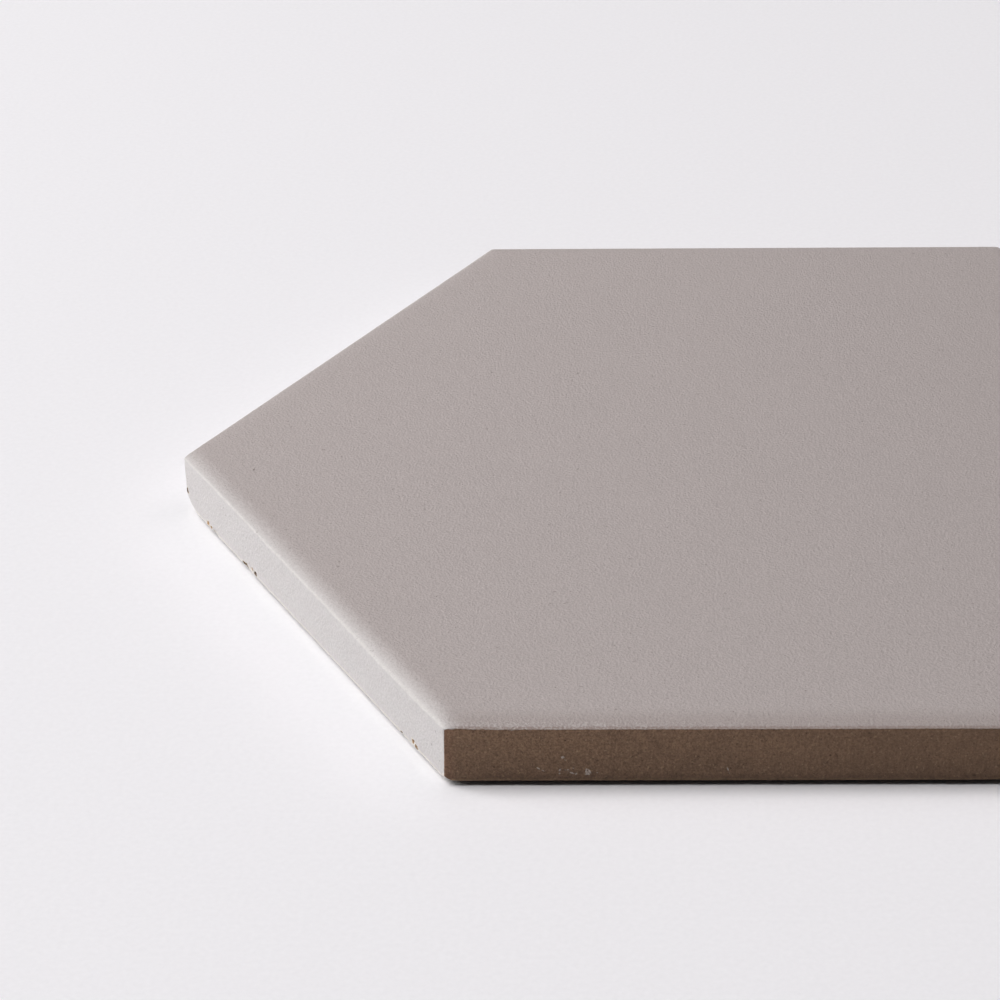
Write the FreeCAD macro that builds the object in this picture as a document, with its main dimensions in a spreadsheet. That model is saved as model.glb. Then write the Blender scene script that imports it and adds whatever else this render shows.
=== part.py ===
import FreeCAD, Part
import math
import os
import Sketcher

from FreeCAD import Placement, Rotation, Vector

# Hexagon floor tile: one pressed and fired slab with a pillowed face and a ribbed back.
# The origin is at the centre of the plane that the ribs stand on, with +Z up.
# Two corners lie on the X axis. The sides that face +Y and -Y are bare clay with a
# crisp arris, and the glaze rolls over the arris of the other four.

# name, size in millimetres, meaning
SIZES = [
    ("side_length", 100.0, "length of each of the six sides"),
    ("thickness", 10.8, "from the foot of the ribs to the flat of the face"),
    ("corner_radius", 0.5, "rounding of the six upright edges"),
    ("cushion_width", 4.5, "how far the pillowed edge reaches in over the face"),
    ("cushion_drop", 0.7, "how far the face has fallen where it meets a bare side"),
    ("glaze_radius", 0.35, "rounding of the arris where the glaze rolls over it"),
    ("back_bevel", 0.3, "bevel between a side and the border of the back"),
    ("corner_relief", 1.2, "bevel under a corner, along the diagonal of the slab"),
    ("key_depth", 0.65, "how far the ribs stand out of the back"),
    ("border_width", 11.6, "plain border of the back, between the sides and the ribs"),
    ("rib_width", 6.0, "width of a rib at its foot"),
    ("groove_width", 6.0, "width of the groove between two ribs at its mouth"),
    ("groove_draft", 0.3, "how far each flank of a groove leans in"),
    ("overcut", 2.0, "how far a cutting profile runs on outside the slab"),
]

APOTHEM = "Sizes.side_length * cos(30 deg)"
CUSHION_RADIUS = "(Sizes.cushion_width ^ 2 + Sizes.cushion_drop ^ 2) / (2 * Sizes.cushion_drop)"
RIB_PITCH = "(Sizes.rib_width + Sizes.groove_width)"
# The outermost ribs take what is left of the field, at least half a rib.
GROOVES_EACH_WAY = f"floor(({APOTHEM} - Sizes.border_width) / {RIB_PITCH})"

doc = FreeCAD.newDocument("HexagonTile")
sizes = doc.addObject("Spreadsheet::Sheet", "Sizes")
body = doc.addObject("PartDesign::Body", "HexagonTile")
body.Label = "hexagon_tile"


def fill_sheet():
    """One row for each driving dimension: its name, its size under that alias, its meaning."""
    for row, (name, size, meaning) in enumerate(SIZES, start=1):
        sizes.set(f"A{row}", name)
        sizes.set(f"B{row}", str(size))
        sizes.set(f"C{row}", meaning)
        sizes.setAlias(f"B{row}", name)
    doc.recompute()


def value_of(expression):
    """The present value of an expression, to draw sketch geometry in its place."""
    return float(body.evalExpression(expression))


def own_origin(role):
    return next(item for item in body.Origin.OriginFeatures if item.Role == role)


def new_sketch(name, plane):
    sketch = body.newObject("Sketcher::SketchObject", name)
    sketch.AttachmentSupport = [(own_origin(plane), "")]
    sketch.MapMode = "FlatFace"
    return sketch


def rule(sketch, *terms):
    return sketch.addConstraint(Sketcher.Constraint(*terms))


def measure(sketch, name, expression, *terms):
    """A named dimension of the sketch that follows an expression."""
    sketch.renameConstraint(rule(sketch, *terms, value_of(expression)), name)
    sketch.setExpression(f"Constraints.{name}", expression)


def draw_lines(sketch, points):
    """Straight edges from each point to the next, joined end to start."""
    vectors = [Vector(x, y, 0) for x, y in points]
    edges = [
        sketch.addGeometry(Part.LineSegment(start, end), False)
        for start, end in zip(vectors, vectors[1:])
    ]
    for edge, following in zip(edges, edges[1:]):
        rule(sketch, "Coincident", edge, 2, following, 1)
    return edges


def draw_polygon(sketch, points):
    edges = draw_lines(sketch, points + points[:1])
    rule(sketch, "Coincident", edges[-1], 2, edges[0], 1)
    return edges


def draw_arc(sketch, centre, radius, start_angle, end_angle):
    circle = Part.Circle(Vector(*centre, 0), Vector(0, 0, 1), radius)
    return sketch.addGeometry(Part.ArcOfCircle(circle, start_angle, end_angle), False)


def hexagon(name, circumradius):
    """A regular hexagon round the origin with two corners on the X axis."""
    sketch = new_sketch(name, "XY_Plane")
    radius = value_of(circumradius)
    turns = [math.radians(60 * corner) for corner in range(6)]
    corners = [(radius * math.cos(turn), radius * math.sin(turn)) for turn in turns]
    edges = draw_polygon(sketch, corners)
    circle = sketch.addGeometry(Part.Circle(Vector(0, 0, 0), Vector(0, 0, 1), radius), True)
    rule(sketch, "Coincident", circle, 3, -1, 1)
    rule(sketch, "PointOnObject", edges[0], 1, -1)
    for edge in edges:
        rule(sketch, "PointOnObject", edge, 1, circle)
    for edge in edges[1:]:
        rule(sketch, "Equal", edges[0], edge)
    measure(sketch, "circumradius", circumradius, "Radius", circle)
    return sketch


def pad(name, sketch, length):
    feature = body.newObject("PartDesign::Pad", name)
    feature.Profile = sketch
    feature.setExpression("Length", length)
    doc.recompute()
    return feature


def cut_through(name, sketch):
    """Carry a profile straight through the slab, both ways from its plane."""
    before = body.Shape.Volume
    pocket = body.newObject("PartDesign::Pocket", name)
    pocket.Profile = sketch
    pocket.Type = "ThroughAll"
    pocket.Midplane = True
    doc.recompute()
    if pocket.Shape.Volume >= before:
        raise RuntimeError(f"{name} cuts nothing")
    return pocket


def repeat_round(name, feature, count):
    """Repeat a cut evenly round the Z axis."""
    pattern = body.newObject("PartDesign::PolarPattern", name)
    pattern.Originals = [feature]
    pattern.Axis = (own_origin("Z_Axis"), [""])
    pattern.Angle = 360
    pattern.Occurrences = count
    body.Tip = pattern
    doc.recompute()


def make_slab():
    """The plain prism above the ribs, with its upright edges rounded."""
    outline = hexagon("SlabOutline", "Sizes.side_length")
    outline.setExpression("AttachmentOffset.Base.z", "Sizes.key_depth")
    slab = pad("Slab", outline, "Sizes.thickness - Sizes.key_depth")
    upright = [
        f"Edge{number}"
        for number, edge in enumerate(slab.Shape.Edges, start=1)
        if abs(edge.tangentAt(edge.FirstParameter).z) > 0.99
    ]
    corners = body.newObject("PartDesign::Fillet", "UprightCorners")
    corners.Base = (slab, upright)
    corners.setExpression("Radius", "Sizes.corner_radius")
    doc.recompute()


def make_rib_field():
    """A low hexagon under the slab, which is then grooved into ribs along X."""
    outline = hexagon("RibFieldOutline", "Sizes.side_length - Sizes.border_width / cos(30 deg)")
    pad("RibField", outline, "Sizes.key_depth")

    middle = (0.5 - value_of(GROOVES_EACH_WAY)) * value_of(RIB_PITCH)
    half_mouth = sizes.groove_width / 2
    half_floor = half_mouth - sizes.groove_draft
    sketch = new_sketch("GrooveProfile", "YZ_Plane")
    mouth, far_flank, floor, near_flank = draw_polygon(sketch, [
        (middle - half_mouth, 0),
        (middle + half_mouth, 0),
        (middle + half_floor, sizes.key_depth),
        (middle - half_floor, sizes.key_depth),
    ])
    rule(sketch, "PointOnObject", mouth, 1, -1)
    rule(sketch, "Horizontal", mouth)
    rule(sketch, "Horizontal", floor)
    rule(sketch, "Equal", near_flank, far_flank)
    measure(sketch, "mouth", "Sizes.groove_width", "DistanceX", mouth, 1, mouth, 2)
    measure(sketch, "draft", "Sizes.groove_draft", "DistanceX", far_flank, 2, far_flank, 1)
    measure(sketch, "depth", "Sizes.key_depth", "DistanceY", far_flank, 1, far_flank, 2)
    measure(
        sketch, "place", f"({GROOVES_EACH_WAY} - 0.5) * {RIB_PITCH} + Sizes.groove_width / 2",
        "DistanceX", mouth, 1, -1, 1,
    )

    first = cut_through("FirstGroove", sketch)
    grooves = body.newObject("PartDesign::LinearPattern", "Grooves")
    grooves.Originals = [first]
    grooves.Direction = (own_origin("Y_Axis"), [""])
    grooves.setExpression("Length", f"(2 * {GROOVES_EACH_WAY} - 1) * {RIB_PITCH}")
    grooves.setExpression("Occurrences", f"2 * {GROOVES_EACH_WAY}")
    body.Tip = grooves
    doc.recompute()


def cushion_profile(name, turn, glazed):
    """What is taken off the edge of the face, drawn square to the side turned from +Y.

    A long arc leaves the flat of the face tangentially. On a bare side it runs out at
    the side, and on a glazed side a small arc rounds it into the side.
    """
    sketch = new_sketch(name, "YZ_Plane")
    sketch.AttachmentOffset = Placement(Vector(0, 0, 0), Rotation(Vector(0, 1, 0), turn))
    side = value_of(APOTHEM)
    radius = value_of(CUSHION_RADIUS)
    reach = sizes.cushion_width
    roll = sizes.glaze_radius if glazed else 0
    lean = math.asin((reach - roll) / (radius - roll))
    arris = sizes.thickness - radius + (radius - roll) * math.cos(lean)
    inside = side - reach
    outside = side + sizes.overcut
    above = sizes.thickness + sizes.overcut
    ledge, outer, upper, drop = draw_lines(sketch, [
        (side, arris),
        (outside, arris),
        (outside, above),
        (inside, above),
        (inside, sizes.thickness),
    ])
    cushion = draw_arc(
        sketch, (inside, sizes.thickness - radius), radius, math.pi / 2 - lean, math.pi / 2
    )
    rule(sketch, "Horizontal", ledge)
    rule(sketch, "Vertical", outer)
    rule(sketch, "Horizontal", upper)
    rule(sketch, "Vertical", drop)
    rule(sketch, "Coincident", drop, 2, cushion, 2)
    rule(sketch, "Vertical", cushion, 2, cushion, 3)
    if glazed:
        rounding = draw_arc(sketch, (side - roll, arris), roll, 0, math.pi / 2 - lean)
        rule(sketch, "Tangent", rounding, 2, cushion, 1)
        rule(sketch, "Coincident", rounding, 1, ledge, 1)
        rule(sketch, "Horizontal", rounding, 1, rounding, 3)
        measure(sketch, "roll", "Sizes.glaze_radius", "Radius", rounding)
    else:
        rule(sketch, "Coincident", cushion, 1, ledge, 1)
    measure(sketch, "radius", CUSHION_RADIUS, "Radius", cushion)
    measure(sketch, "side", APOTHEM, "DistanceX", -1, 1, ledge, 1)
    measure(sketch, "inside", f"{APOTHEM} - Sizes.cushion_width", "DistanceX", -1, 1, drop, 2)
    measure(sketch, "face", "Sizes.thickness", "DistanceY", -1, 1, drop, 2)
    measure(sketch, "past_side", "Sizes.overcut", "DistanceX", ledge, 1, ledge, 2)
    measure(sketch, "past_face", "Sizes.overcut", "DistanceY", drop, 2, drop, 1)
    return sketch


def make_cushion():
    """Each profile is cut along one side and along the side opposite."""
    sides = [("Bare", 0, False), ("GlazedLeft", 60, True), ("GlazedRight", -60, True)]
    for name, turn, glazed in sides:
        profile = cushion_profile(f"{name}Profile", turn, glazed)
        repeat_round(f"{name}Edges", cut_through(f"{name}Edge", profile), 2)


def undercut(name, plane, reach, size):
    """Bevel the slab from below at 45 degrees, six times round, this far from its middle."""
    sketch = new_sketch(f"{name}Profile", plane)
    inner = value_of(f"{reach} - {size}")
    run = value_of(f"{size} + Sizes.overcut")
    low = sizes.key_depth
    slope, outer, under = draw_polygon(
        sketch, [(inner, low), (inner + run, low + run), (inner + run, low)]
    )
    rule(sketch, "Vertical", outer)
    rule(sketch, "Horizontal", under)
    rule(sketch, "Equal", outer, under)
    measure(sketch, "low", "Sizes.key_depth", "DistanceY", -1, 1, slope, 1)
    measure(sketch, "inner", f"{reach} - {size}", "DistanceX", -1, 1, slope, 1)
    measure(sketch, "run", f"{size} + Sizes.overcut", "DistanceX", slope, 1, slope, 2)
    repeat_round(f"{name}s", cut_through(name, sketch), 6)


def check_document():
    for item in doc.Objects:
        if "Invalid" in item.State or "Error" in item.State:
            raise RuntimeError(f"{item.Name} failed: {item.State}")
    shape = body.Shape
    if shape.isNull() or not shape.isValid() or len(shape.Solids) != 1:
        raise RuntimeError(f"{body.Label} is not one valid solid")


fill_sheet()
make_slab()
make_rib_field()
make_cushion()
undercut("BackBevel", "YZ_Plane", APOTHEM, "Sizes.back_bevel")
undercut("CornerRelief", "XZ_Plane", "Sizes.side_length", "Sizes.corner_relief")
body.Placement = Placement()
doc.recompute()
check_document()

os.makedirs("parts", exist_ok=True)
body.Shape.exportStep(f"parts/{body.Label}.step")
print(f"{body.Label}: {body.Shape.Volume / 1000:.2f} cm3, {len(body.Shape.Faces)} faces")
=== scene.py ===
import math

import bpy
import numpy as np
from mathutils import Matrix, Vector


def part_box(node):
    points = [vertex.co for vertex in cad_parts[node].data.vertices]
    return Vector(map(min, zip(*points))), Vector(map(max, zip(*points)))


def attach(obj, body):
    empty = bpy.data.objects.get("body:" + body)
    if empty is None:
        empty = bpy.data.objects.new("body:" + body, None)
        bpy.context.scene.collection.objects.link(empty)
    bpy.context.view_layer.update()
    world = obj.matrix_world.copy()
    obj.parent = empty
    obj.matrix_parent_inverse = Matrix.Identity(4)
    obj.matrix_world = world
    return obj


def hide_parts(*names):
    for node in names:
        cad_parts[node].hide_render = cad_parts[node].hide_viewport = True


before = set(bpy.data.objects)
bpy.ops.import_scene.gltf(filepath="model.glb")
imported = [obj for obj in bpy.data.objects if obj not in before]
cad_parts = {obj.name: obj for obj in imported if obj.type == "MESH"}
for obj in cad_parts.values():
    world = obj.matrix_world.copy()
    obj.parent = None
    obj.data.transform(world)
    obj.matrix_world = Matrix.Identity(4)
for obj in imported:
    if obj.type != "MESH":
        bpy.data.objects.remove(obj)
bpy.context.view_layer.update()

# Hexagon floor tile. Sizes below are in millimetres and angles in degrees, and a side is
# named by the direction that it faces.
mm = 0.001
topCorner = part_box("hexagon_tile")[1]
apothem = topCorner.y / mm           # from the middle to a side
sideLength = apothem / math.cos(math.radians(30))
faceHeight = topCorner.z / mm
print("frame: %.1f mm across the flats, %.1f mm thick" % (2 * apothem, faceHeight))

tile = {
    "borderHeight": 0.65,      # plain border of the back, over the feet of the ribs
    "cornerRounding": 0.5,     # of the six upright edges
    "cornerCrowding": 0.6,     # how much closer the stops stand near a corner
    "leastRounding": 0.02,     # of an upright edge, where the rings stand far in
    "faceRings": [0.3, 0.6, 0.8, 0.9],   # shares of the way out over the flat face
    "cushionRings": 16,
    "cushionSpacing": 0.75,    # power that crowds the cushion's rings, below 1 to the arris
    "arrisRings": 7,
    "wallRings": 34,
    "wallEven": 0.45,          # share of the wall's rings' spacing that is even
    "wallSpacing": 2.4,        # power that crowds the rest of it to the foot
    "bevelRings": 4,
    "sharpAngle": 38.0,
}

# How each side's face edge falls away: over what width, by how much, with what power, and
# with what radius it turns down into the side. Along the side the drop sways by these two
# shares of it. Four sides are glazed. There the glaze is pale down the side and, this far in
# and this strongly at the side's two ends, over the face. Below, a side ends at its foot, and
# a bevel this wide leads on to the border.
edges = {
    30: {
        "stops": 110, "width": 4.2, "drop": 0.32, "power": 2.6, "radius": 0.40,
        "sway": (0.0, 0.0), "pale": 1.4, "over": (0.5, 0.5), "foot": 1.22, "bevel": 0.45,
    },
    90: {
        "stops": 130, "width": 4.2, "drop": 0.36, "power": 2.6, "radius": 0.12,
        "sway": (0.0, 0.0), "pale": 0.0, "over": (0.0, 0.0), "foot": 1.05, "bevel": 0.40,
    },
    150: {
        "stops": 170, "width": 4.2, "drop": 0.32, "power": 2.6, "radius": 0.40,
        "sway": (0.0, 0.0), "pale": 1.4, "over": (0.55, 0.15), "foot": 1.22, "bevel": 0.45,
    },
    210: {
        "stops": 520, "width": 4.4, "drop": 0.62, "power": 2.7, "radius": 0.40,
        "sway": (0.28, 0.15), "pale": 4.4, "over": (0.82, 1.18), "foot": 1.22, "bevel": 0.52,
    },
    270: {
        "stops": 380, "width": 6.5, "drop": 0.58, "power": 2.4, "radius": 0.10,
        "sway": (0.0, 0.0), "pale": 0.0, "over": (0.0, 0.0), "foot": 1.05, "bevel": 0.40,
    },
    330: {
        "stops": 110, "width": 4.4, "drop": 0.62, "power": 2.7, "radius": 0.40,
        "sway": (0.0, 0.0), "pale": 4.4, "over": (1.0, 1.0), "foot": 1.22, "bevel": 0.45,
    },
}
sideAngles = np.array(list(edges), float)
# Two sides' edges change over this far either way from a corner, and meet this sharply.
cornerBlend = {"half": 0.9, "sharpness": 6.0}

# At a corner the face falls less than along its sides, by this share, within this reach.
faceLifts = {
    0: {"share": 0.10, "reach": 2.0},
    60: {"share": 0.0, "reach": 2.0},
    120: {"share": 0.0, "reach": 2.0},
    180: {"share": 0.20, "reach": 2.0},
    240: {"share": 0.36, "reach": 10.0},
    300: {"share": 0.10, "reach": 2.0},
}

# Each corner is rounded off below: how far up the upright edge, and along the side before
# it and the side after it, going round anticlockwise.
cornerCuts = {
    0: {"up": 1.1, "before": 1.1, "after": 1.1},
    60: {"up": 1.2, "before": 1.4, "after": 1.0},
    120: {"up": 1.0, "before": 1.2, "after": 1.3},
    180: {"up": 4.2, "before": 3.2, "after": 9.0},
    240: {"up": 1.7, "before": 5.0, "after": 2.7},
    300: {"up": 1.3, "before": 1.2, "after": 1.5},
}
cutWobble = {"coarse": 0.06, "coarseSize": 1.1, "fine": 0.02, "fineSize": 0.35, "seed": 40}

ribField = {
    "border": 11.6,            # from a side to the ribs
    "ribWidth": 6.0,
    "pitch": 12.0,
    "eachWay": 6,              # ribs on either side of the middle one
    "flank": 0.3,
    "flankToe": 0.1,           # rows over a flank, outside and inside the rib's edge
    "flankTop": 0.06,
    "shoulder": 0.5,           # row on the rib's foot beside its flank
    "easing": 0.05,            # how far inside its edge a rib starts to rise
    "endSlope": 0.45,
    "endShare": 0.8,           # of the end slope, to its second point
    "endFade": 0.85,           # and how far down it that point lies
    "endRun": 1.0,             # flat run past the slope
    "middleRows": 0.45,        # the grid's inner columns, as a share of its reach
}

# Where the glaze ends.
glazeEdge = {
    "rimHeight": 0.15,         # over the floor, on a glazed side
    "cutCover": 2.2,           # how deep a corner cut it still covers
    "chipPull": 0.5,           # how far it draws back from a chip's rim to its middle
    "wrapLow": -0.42,          # how far round a corner it wraps on to a bare side, at its foot
    "wrapHigh": 0.24,          # and at its top
    "overArris": 0.01,         # so far over a bare side's arris, a point is on the face
    "least": 0.02,             # and at least this far in
    "onBack": -5.0,            # bare all over
    "ragNoise": (0.45, 3.0),   # size and detail of the noise that makes it ragged
    "rag": 0.22,
    "soft": (-0.03, 0.03),
}
# Past an arris the pale glaze is at its full strength this far in, and at its side's own
# strength over the face from here on.
paleEdge = {"full": 0.05, "end": 0.35}

# Broken places along the lower rim of this side: distance from its left corner, height over the
# floor, half length, half height, depth, what each shows and how much painted shade it has. One of
# clay is tan at 0 and painted deep brown shade at 1, one of cream is a pale scar in the glaze, one
# of glaze only a dent.
chippedSide = 210.0
rimChips = [
    (0.6, 4.05, 0.40, 0.52, 0.20, "clay", 0.9), (7.45, 2.45, 0.36, 0.28, 0.10, "glaze", 0.0),
    (8.0, 1.93, 0.40, 0.30, 0.10, "glaze", 0.0), (9.4, 1.70, 0.55, 0.45, 0.30, "clay", 0.15),
    (10.7, 1.60, 0.42, 0.24, 0.20, "clay", 0.4), (12.3, 1.35, 1.40, 0.42, 0.26, "cream", 0.0),
    (25.2, 1.42, 1.20, 0.36, 0.38, "clay", 0.85), (27.0, 1.50, 0.80, 0.42, 0.16, "cream", 0.0),
    (28.1, 1.92, 0.34, 0.24, 0.15, "clay", 0.5), (29.3, 1.62, 0.52, 0.50, 0.38, "clay", 0.95),
    (52.1, 1.30, 0.40, 0.22, 0.20, "cream", 0.0), (73.4, 1.30, 0.35, 0.22, 0.20, "cream", 0.0),
    (85.2, 1.30, 0.48, 0.28, 0.25, "clay", 0.8), (89.2, 2.00, 0.44, 0.36, 0.28, "clay", 0.4),
    (90.2, 1.55, 0.46, 0.36, 0.28, "clay", 0.6), (92.9, 1.40, 2.40, 0.26, 0.12, "cream", 0.0),
    (99.3, 1.80, 0.40, 0.32, 0.04, "cream", 0.0),
]
chipRag = {"coarse": 0.24, "coarseSize": 0.9, "fine": 0.16, "fineSize": 0.35, "seed": 71}
# Share of the way in from a chip's rim at which its bowl is deepest and a scar is full.
chipWall = {"bowl": 0.6, "scar": 0.35}
# The rim's unevenness fades out between these two heights, and the wave runs all over.
rimRoughness = {
    "coarse": 0.022, "coarseSize": 1.6, "fine": 0.012, "fineSize": 0.5,
    "wave": 0.016, "waveSize": 7.0, "waveMiddle": 1.2, "top": 1.6, "bottom": 0.7, "seed": 11,
}


# The direction that an angle points in: its cosine and sine.
def unitAt(degrees):
    turn = np.radians(degrees)
    return np.array([np.cos(turn), np.sin(turn)])


# 0 at low, 1 at high, and 3t squared less 2t cubed between them.
def smoothStep(low, high, value):
    share = np.clip((value - low) / (high - low), 0.0, 1.0)
    return share * share * (3.0 - 2.0 * share)


# Smooth noise of about -1 to 1: sine waves of about this length in random directions, from
# shortest to longest times it.
def ripple(points, scale, seed, waves=28, shortest=0.7, longest=1.5):
    draw = np.random.default_rng(seed)
    axes = draw.normal(size=(waves, 3))
    axes /= np.linalg.norm(axes, axis=1)[:, None]
    lengths = scale * draw.uniform(shortest, longest, waves)
    phases = draw.uniform(0.0, 2.0 * np.pi, waves)
    angles = points @ (axes / lengths[:, None] * 2.0 * np.pi).T + phases
    return np.sin(angles).sum(axis=-1) / math.sqrt(waves)


# One value of all six sides, in their order.
def perSide(key):
    return np.array([edge[key] for edge in edges.values()])


# Insets and heights of one side's rings, from the edge of the flat face down, and the height
# at which its arris ends. The face falls by drop times (1 - inset / width) to the power, then
# turns down round an arc that leaves it tangentially. The wall runs down to the foot, and the
# bevel slopes from there to the border.
def edgeProfile(edge):
    width, drop, power, radius = edge["width"], edge["drop"], edge["power"], edge["radius"]
    foot = edge["foot"]
    start = radius
    for _ in range(8):   # each round brings the arc's start nearer to a tangent
        slope = power * drop / width * (1.0 - start / width) ** (power - 1.0)
        start = radius * (1.0 - math.sin(math.atan(slope)))
    lean = math.atan(slope)
    arrisEnd = faceHeight - drop * (1.0 - start / width) ** power - radius * math.cos(lean)

    share = np.linspace(0.0, 1.0, tile["cushionRings"])
    cushionInset = width + (start - width) * share ** tile["cushionSpacing"]
    cushionHeight = faceHeight - drop * (1.0 - cushionInset / width) ** power

    turns = np.linspace(lean, math.pi / 2, tile["arrisRings"] + 1)[1:]
    arrisInset = radius - radius * np.sin(turns)
    arrisHeight = arrisEnd + radius * np.cos(turns)

    share = np.linspace(1.0, 0.0, tile["wallRings"] + 1)[1:]
    even = tile["wallEven"]
    spaced = even * share + (1.0 - even) * share ** tile["wallSpacing"]
    wallHeight = foot + (arrisEnd - foot) * spaced

    share = np.linspace(0.0, 1.0, tile["bevelRings"] + 1)[1:]
    bevelHeight = foot + (tile["borderHeight"] - foot) * share
    insets = [cushionInset, arrisInset, np.zeros_like(wallHeight), edge["bevel"] * share]
    heights = [cushionHeight, arrisHeight, wallHeight, bevelHeight]
    return np.concatenate(insets), np.concatenate(heights), arrisEnd


# Where the stops stand round the tile. Each has the numbers of its side and of the side past
# its nearer corner, the way that its side faces, that corner's number and place, its angle
# from its side's middle, and how far it is from the corner. An even step less a share of a
# sine wave crowds the stops near the corners.
def layStops():
    side, place = [], []
    for number, edge in enumerate(edges.values()):
        step = np.arange(edge["stops"]) / edge["stops"]
        step = step - tile["cornerCrowding"] * np.sin(2.0 * np.pi * step) / (2.0 * np.pi)
        side.append(np.full(edge["stops"], number))
        place.append(2.0 * step - 1.0)
    side, place = np.concatenate(side), np.concatenate(place)
    way = np.where(place < 0.0, -1, 1)
    return {
        "side": side,
        "beside": (side + way) % len(edges),
        "facing": np.radians(sideAngles[side]),
        "cornerNumber": np.where(way < 0, side, (side + 1) % len(edges)),
        "corner": sideLength * unitAt(sideAngles[side] + 30.0 * way),
        "lean": np.arctan(place * math.tan(math.radians(30))),
        "fromCorner": (1.0 - np.abs(place)) * sideLength / 2.0,
    }


# How far a rounded hexagon, this far inside the tile's, reaches at an angle from a side: its
# apothem over the cosine, and past the side's end a circle's reach from the tile's middle.
def reachOf(inset, lean):
    inner = apothem - inset
    rounding = tile["cornerRounding"] - np.maximum(inset, 0.0)
    rounding = np.maximum(rounding, tile["leastRounding"])
    centre = (inner - rounding) / math.cos(math.radians(30))
    fromCorner = math.radians(30) - np.abs(lean)
    under = np.maximum(rounding ** 2 - (centre * np.sin(fromCorner)) ** 2, 0.0)
    arc = centre * np.cos(fromCorner) + np.sqrt(under)
    beyond = inner * np.tan(np.abs(lean)) > centre * 0.5
    return np.where(beyond, arc, inner / np.cos(lean))


# How far the face has fallen at a point near a side: the side's drop times one less the share
# of its width that lies between, raised to its power. Along the side the drop sways by two
# sine waves, one and two to its length.
def fallNear(number, x, y):
    turn = np.radians(sideAngles[number])
    inset = apothem - x * np.cos(turn) - y * np.sin(turn)
    share = np.clip(1.0 - inset / perSide("width")[number], 0.0, 1.0)
    along = 0.5 + (y * np.cos(turn) - x * np.sin(turn)) / sideLength
    once, twice = perSide("sway")[number].T
    angle = 2.0 * np.pi * np.clip(along, 0.0, 1.0)
    even = 1.0 - once * np.sin(angle) - twice * np.sin(2.0 * angle)
    return perSide("drop")[number] * even * share ** perSide("power")[number]


# The rings of the tile from the face to the border of the back, each with a point per stop.
# Near a corner a stop's insets and heights pass from one side's profile to the next one's.
def shapeRings(stops):
    side, beside = stops["side"], stops["beside"]
    profiles = [edgeProfile(edge) for edge in edges.values()]
    insets, heights, arrisEnds = (np.array([p[k] for p in profiles]) for k in range(3))
    keep = 0.5 + 0.5 * smoothStep(0.0, cornerBlend["half"], stops["fromCorner"])
    inset = insets[side].T * keep + insets[beside].T * (1.0 - keep)
    height = heights[side].T * keep + heights[beside].T * (1.0 - keep)
    arrisEnd = arrisEnds[side] * keep + arrisEnds[beside] * (1.0 - keep)

    outward = np.array(tile["faceRings"])[:, None]
    inset = np.vstack([apothem - (apothem - inset[0]) * outward, inset])
    reach = reachOf(inset, stops["lean"])
    x = reach * np.cos(stops["facing"] + stops["lean"])
    y = reach * np.sin(stops["facing"] + stops["lean"])

    # Over the face the height follows both sides' falls, and the deeper one all but wins.
    onFace = len(outward) + tile["cushionRings"]
    ownFall, otherFall = (fallNear(number, x[:onFace], y[:onFace]) for number in (side, beside))
    fallen = ownFall ** cornerBlend["sharpness"] + otherFall ** cornerBlend["sharpness"]
    fallen = fallen ** (1.0 / cornerBlend["sharpness"])
    toTip = np.hypot(x[:onFace] - stops["corner"][0], y[:onFace] - stops["corner"][1])
    lift = np.array([corner["share"] for corner in faceLifts.values()])[stops["cornerNumber"]]
    liftReach = np.array([corner["reach"] for corner in faceLifts.values()])[stops["cornerNumber"]]
    fallen *= 1.0 - lift * smoothStep(liftReach, 0.0, toTip)
    cushion = faceHeight - fallen

    # Below it the arris and wall move with its edge, down to a foot that stays level.
    below = height[tile["cushionRings"]:]
    foot = perSide("foot")[side] * keep + perSide("foot")[beside] * (1.0 - keep)
    shift = cushion[-1] - height[tile["cushionRings"] - 1]
    below = below + shift * np.clip((below - foot) / (arrisEnd - foot), 0.0, 1.0)
    return np.stack([x, y, np.vstack([cushion, below])], axis=-1)


# Round off each lower corner by so much of the three edges that meet there. Seen along the
# diagonal the cut is a quarter of an ellipse, and points beyond it move straight in to it.
# Returns how deep each point was cut.
def cutCorners(points):
    depth = np.zeros(points.shape[:2])
    for corner, cut in cornerCuts.items():
        tip = sideLength * unitAt(corner)
        before = tip + cut["before"] * unitAt(corner - 120.0)
        chord = tip + cut["after"] * unitAt(corner + 120.0) - before
        outward = np.array([chord[1], -chord[0]]) / np.linalg.norm(chord)
        full = float(outward @ (tip - before))
        climbed = np.clip((points[..., 2] - tile["borderHeight"]) / cut["up"], 0.0, 1.0)
        taken = full * (1.0 - np.sqrt(1.0 - (1.0 - climbed) ** 2))
        seed = cutWobble["seed"] + corner
        wobble = cutWobble["coarse"] * ripple(points, cutWobble["coarseSize"], seed)
        wobble = wobble + cutWobble["fine"] * ripple(points, cutWobble["fineSize"], seed + 1)
        over = (points[..., :2] - tip) @ outward + taken + wobble * np.sqrt(taken / full)
        over = np.where(climbed < 1.0, np.maximum(over, 0.0), 0.0)
        points[..., 0] -= over * outward[0]
        points[..., 1] -= over * outward[1]
        depth = np.maximum(depth, over)
    return depth
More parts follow.
